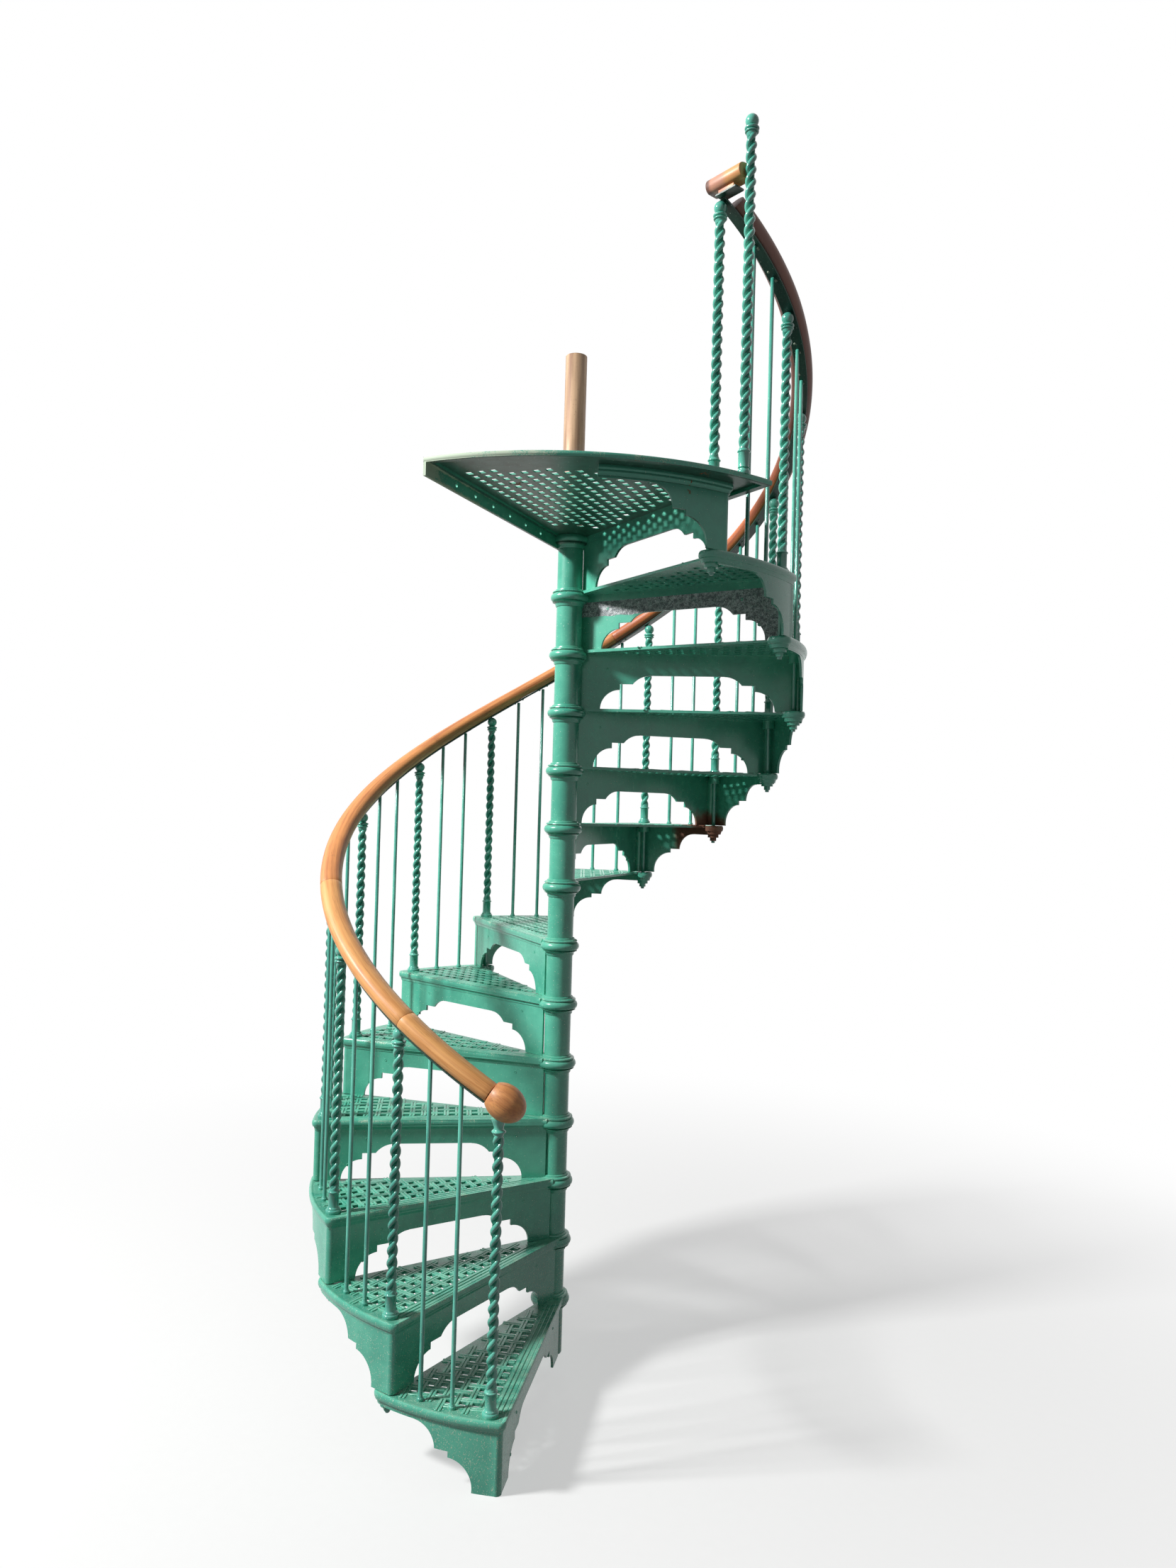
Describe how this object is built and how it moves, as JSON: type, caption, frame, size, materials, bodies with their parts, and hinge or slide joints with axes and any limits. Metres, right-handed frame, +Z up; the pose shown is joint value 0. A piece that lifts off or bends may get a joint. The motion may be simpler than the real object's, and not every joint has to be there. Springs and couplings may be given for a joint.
{
  "type": "spiral staircase",
  "caption": "Spiral staircase of pierced iron treads winding clockwise up a central pipe, with turned posts, plain balusters, a wooden handrail and a landing that bolts to the upper floor.",
  "frame": {"origin": "centre of the central pipe's foot plate, on the floor", "axes": "+Z up along the pipe; -Y along the landing's far edge, whose bolting flange faces -X"},
  "size_m": [1.6239, 1.7122, 3.818],
  "materials": {
    "painted_iron": "sea-green gloss paint over cast iron, weathered",
    "bare_pipe": "bare steel tube, brown with rust above the landing",
    "varnished_wood": "varnished softwood, jointed lengths"
  },
  "bodies": {
    "root": {"center_pipe": "bare_pipe", "tread_01": "painted_iron", "tread_02": "painted_iron", "tread_03": "painted_iron", "tread_04": "painted_iron", "tread_05": "painted_iron", "tread_06": "painted_iron", "tread_07": "painted_iron", "tread_08": "painted_iron", "tread_09": "painted_iron", "tread_10": "painted_iron", "tread_11": "painted_iron", "tread_12": "painted_iron", "tread_13": "painted_iron", "landing": "painted_iron", "posts_lower": "painted_iron", "posts_middle": "painted_iron", "posts_upper": "painted_iron", "landing_post": "painted_iron", "newel": "painted_iron", "post_nuts": "painted_iron", "balusters_near": "painted_iron", "balusters_far": "painted_iron", "rail_strip": "painted_iron", "strip_return": "painted_iron", "handrail_1": "varnished_wood", "handrail_2": "varnished_wood", "handrail_3": "varnished_wood", "handrail_4": "varnished_wood", "handrail_return": "varnished_wood", "rail_knob": "varnished_wood"}
  },
  "joints": []
}
